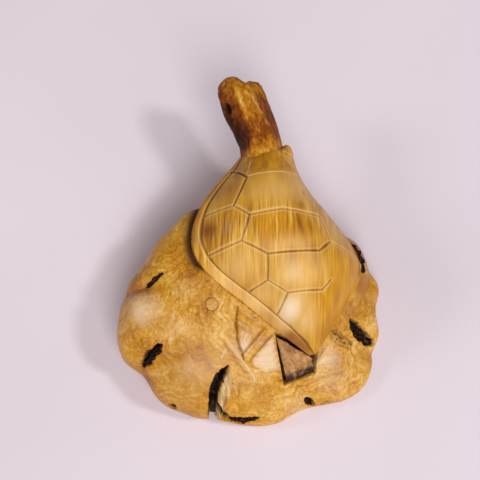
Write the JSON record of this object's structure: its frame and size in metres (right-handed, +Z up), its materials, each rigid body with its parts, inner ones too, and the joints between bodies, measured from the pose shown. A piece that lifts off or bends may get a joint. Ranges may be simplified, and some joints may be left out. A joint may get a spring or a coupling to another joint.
{
  "type": "turtle figurine",
  "caption": "Carved wooden sea turtle with a scute-grooved domed shell and raised head, lying on a lumpy burl with bark pockets and a flat sawn underside.",
  "frame": {"origin": "middle of the sawn flat underside of the burl", "axes": "+Z up from the table, +Y from the front of the burl towards the turtle's head, +X to the turtle's right"},
  "size_m": [0.1311, 0.1673, 0.0654],
  "materials": {
    "burl_wood": "waxed satin",
    "shell_wood": "waxed satin",
    "head_wood": "waxed gloss",
    "dowel_wood": "waxed satin",
    "wedge_wood": "rough",
    "bark": "rough"
  },
  "bodies": {
    "root": {"burl_base": "burl_wood", "carapace": "shell_wood", "head_and_neck": "head_wood", "carapace_pegs": "dowel_wood", "repair_plug": "dowel_wood", "tail_wedge": "wedge_wood", "bark_left_slit": "bark", "bark_left_pocket": "bark", "bark_left_pit": "bark", "bark_front_pit": "bark", "bark_right_pocket": "bark", "bark_rim_crack": "bark", "bark_cleft_lining": "bark", "bark_right_strip": "bark"}
  },
  "joints": []
}
